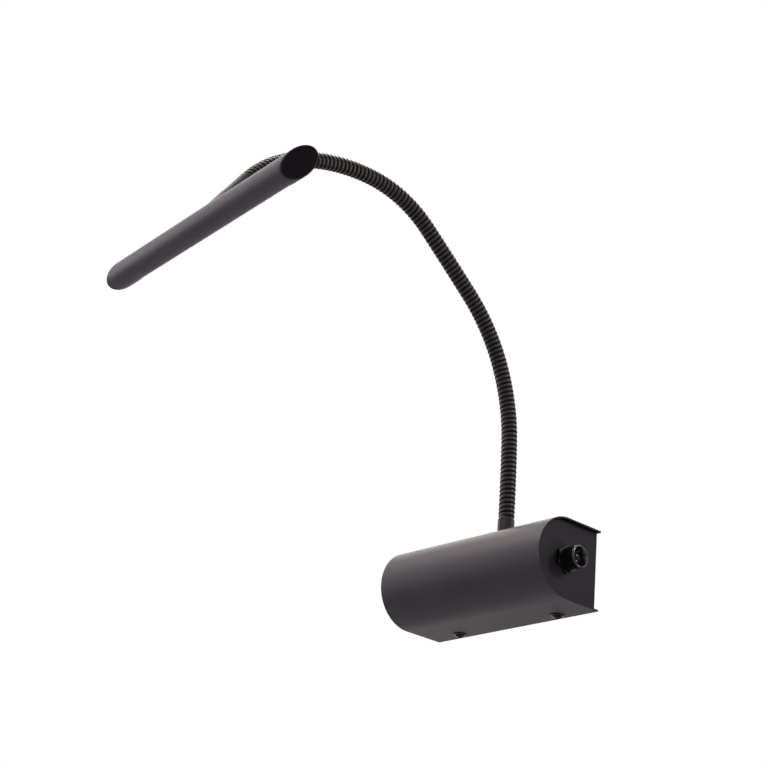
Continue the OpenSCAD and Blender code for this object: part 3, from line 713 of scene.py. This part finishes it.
bpy.ops.object.shade_smooth_by_angle(angle=radians(30))
place(ferrule, neck_end)
ferrule.data.materials.append(ferrule_paint)
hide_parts("neck_top_ferrule")
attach(ferrule, "head")

stem_top = tube_out + stem_len
stem_side = [(stem_bore, stem_low), (stem_r, stem_low)] + rounded(stem_r, stem_top, stem_round)
stem = turned("head_stem_post", stem_side + [(stem_bore, stem_top), (stem_bore, stem_low)], ring=True)
cut(stem, drill(tube_out + saddle_fit, saddle_len, (0, 0, 0), (0, pi / 2, 0)))
bpy.ops.object.shade_smooth_by_angle(angle=radians(30))
stem_stud = sleeve("stem_stud", stem_bore, stem_stud_r, stem_stud_low, stem_stud_top, sides=48)
bpy.ops.object.shade_smooth_by_angle(angle=radians(30))
join(stem, stem_stud)
place(stem, in_head)
stem.data.materials.append(ferrule_paint)
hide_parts("head_stem")
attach(stem, "head")

# Head tube and its end caps.
# Aluminium tube of 17.6 mm with both ends sawn off on the slant, coated gunmetal, with a milled light slot
# on the side that the photograph doesn't show. A moulded cap with a rounded grey rim is plugged into each
# end and follows the slant; its face is coloured near black as painted shade.
tube_wall, tube_sides, stock_len = 0.0012, 96, 0.32
near_x, far_x, slant_angle = 0.123, -0.089, radians(46)
cap_t, cap_round, cap_inset, plug_len = 0.002, 0.001, 0.0019, 0.007
slot_w, slot_end, slot_reach = 0.0084, 0.015, 0.02
slant = Vector((1, 0, -tan(slant_angle))).normalized()


def open_tube(name):
    # A length of the tube's outer skin along X, open at its ends and longer than the head.
    bpy.ops.object.select_all(action="DESELECT")
    bpy.ops.mesh.primitive_cylinder_add(vertices=tube_sides, radius=tube_out, depth=stock_len,
                                        end_fill_type="NOTHING", rotation=(0, pi / 2, 0))
    piece = bpy.context.object
    piece.name = name
    settle()
    return piece


def saw(high, low):
    # Saws the active piece off on the slant at two places along its axis and keeps what lies between them.
    slice_off((high, 0, 0), -slant, fill=False)
    slice_off((low, 0, 0), slant, fill=False)


def choose_rim(piece, at):
    # Selects the edges that lie in the slanted plane through that place on the axis.
    choose_edges(piece, lambda end: abs((end - Vector((at, 0, 0))).dot(slant)) < weld)


tube = open_tube("head_tube_shell")
bpy.ops.object.mode_set(mode="EDIT")
bpy.ops.mesh.primitive_cylinder_add(vertices=tube_sides, radius=tube_out - tube_wall, depth=stock_len,
                                    end_fill_type="NOTHING", rotation=(0, pi / 2, 0))
bpy.ops.mesh.flip_normals()
bpy.ops.object.mode_set(mode="OBJECT")
saw(near_x - cap_t, far_x + cap_t)
for at in (near_x - cap_t, far_x + cap_t):
    choose_rim(tube, at)
    bpy.ops.mesh.bridge_edge_loops()
    bpy.ops.object.mode_set(mode="OBJECT")
close_up()
bpy.ops.object.select_all(action="DESELECT")
bpy.ops.mesh.primitive_cube_add(size=1, location=((near_x + far_x) / 2, slot_reach / 2, 0),
                                scale=(near_x - far_x - 2 * slot_end, slot_reach, slot_w))
settle()
cut(tube, bpy.context.object)
cut(tube, drill(stem_stud_r + hole_fit, through, (0, 0, through / 2)))
soften(tube, width=0.00015)
place(tube, in_head)
# The tube's gunmetal is lighter than the cover's: partly painted light, for the stronger light that falls
# on the head.
tube_paint_with_light = satin_coat("gunmetal_tube_with_light", (0.057, 0.048, 0.066), (0.050, 0.042, 0.058),
                        rough=0.44, grain=0.0006, depth=0.000004)
tube.data.materials.append(tube_paint_with_light)
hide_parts("head_tube")
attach(tube, "head")

# The caps' slanted faces are coloured near black: painted shade, for the dark that the end faces show.
cap_face_painted_shade = moulded("cap_face_painted_shade", (0.0085, 0.0064, 0.0105),
                    rough=0.4, grain=0.0006, depth=0.000006, shine=0.12)
cap_side = satin_coat("cap_side_grey", (0.044, 0.037, 0.050), (0.038, 0.032, 0.043),
                      rough=0.46, grain=0.0006, depth=0.000004)
cap_face, cap_rim = 0, 1
for name, node, outer, way in (("head_cap_near", "end_cap_near", near_x, 1),
                               ("head_cap_far", "end_cap_far", far_x, -1)):
    inner = outer - way * cap_t
    cap = open_tube(name)
    saw(max(outer, inner), min(outer, inner))
    close_ends()
    bpy.ops.object.mode_set(mode="EDIT")
    bpy.ops.mesh.select_mode(type="FACE")
    bpy.ops.mesh.select_all(action="DESELECT")
    bpy.ops.object.mode_set(mode="OBJECT")
    for face in cap.data.polygons:
        face.select = face.normal.dot(slant) * way < -0.9
    bpy.ops.object.mode_set(mode="EDIT")
    bpy.ops.mesh.inset(thickness=cap_inset)
    bpy.ops.mesh.extrude_region_move(TRANSFORM_OT_translate={"value": (-way * plug_len, 0, 0)})
    bpy.ops.object.mode_set(mode="OBJECT")
    choose_rim(cap, outer)
    bpy.ops.mesh.bevel(offset=cap_round, segments=4)
    bpy.ops.object.mode_set(mode="OBJECT")
    soften(cap, width=0.0002)
    cap.data.materials.append(cap_face_painted_shade)
    cap.data.materials.append(cap_side)
    for face in cap.data.polygons:
        face.material_index = cap_rim if face.normal.dot(slant) * way < 0.97 else cap_face
    place(cap, in_head)
    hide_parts(node)
    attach(cap, "head")

# Light.
# A row of LED chips on a narrow white board lies in an extruded aluminium carrier inside the tube, which
# takes up their heat. A frosted strip snaps into the slot over them; the lamp is off.
strip_r, strip_foot, strip_w, slot_fit = 0.0086, 0.005575, 0.0081, 0.00015
strip_len = near_x - far_x - 2 * slot_end - 2 * slot_fit
carrier_aluminium = bare_metal("carrier_aluminium", (0.72, 0.72, 0.73), rough=0.4, stretch=(0.1, 1, 1))
dress("led_carrier", carrier_aluminium)
board_white = moulded("board_white", (0.78, 0.78, 0.75), rough=0.35, grain=0.0012, depth=0.00001)
dress("led_board", board_white)
phosphor = moulded("led_phosphor", (0.82, 0.66, 0.16), rough=0.3, grain=0.0004, depth=0.00002)
dress("led_chips", phosphor)

bpy.ops.object.select_all(action="DESELECT")
bpy.ops.mesh.primitive_cylinder_add(vertices=128, radius=strip_r, depth=strip_len,
                                    location=((near_x + far_x) / 2, 0, 0), rotation=(0, pi / 2, 0))
strip = bpy.context.object
strip.name = "light_strip"
settle()
slice_off((0, strip_foot, 0), (0, 1, 0))
slice_off((0, 0, -strip_w / 2), (0, 0, 1))
slice_off((0, 0, strip_w / 2), (0, 0, -1))
close_up()
soften(strip, width=0.0002)
place(strip, in_head)
opal = moulded("frosted_opal", (0.80, 0.80, 0.77), rough=0.48, grain=0.0005, depth=0.00001)
opal_skin = opal.node_tree.nodes["Principled BSDF"]
opal_skin.inputs["Subsurface Weight"].default_value = 0.3
opal_skin.inputs["Subsurface Radius"].default_value = (0.002, 0.002, 0.002)
strip.data.materials.append(opal)
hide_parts("diffuser")
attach(strip, "head")

bpy.ops.object.select_all(action="DESELECT")
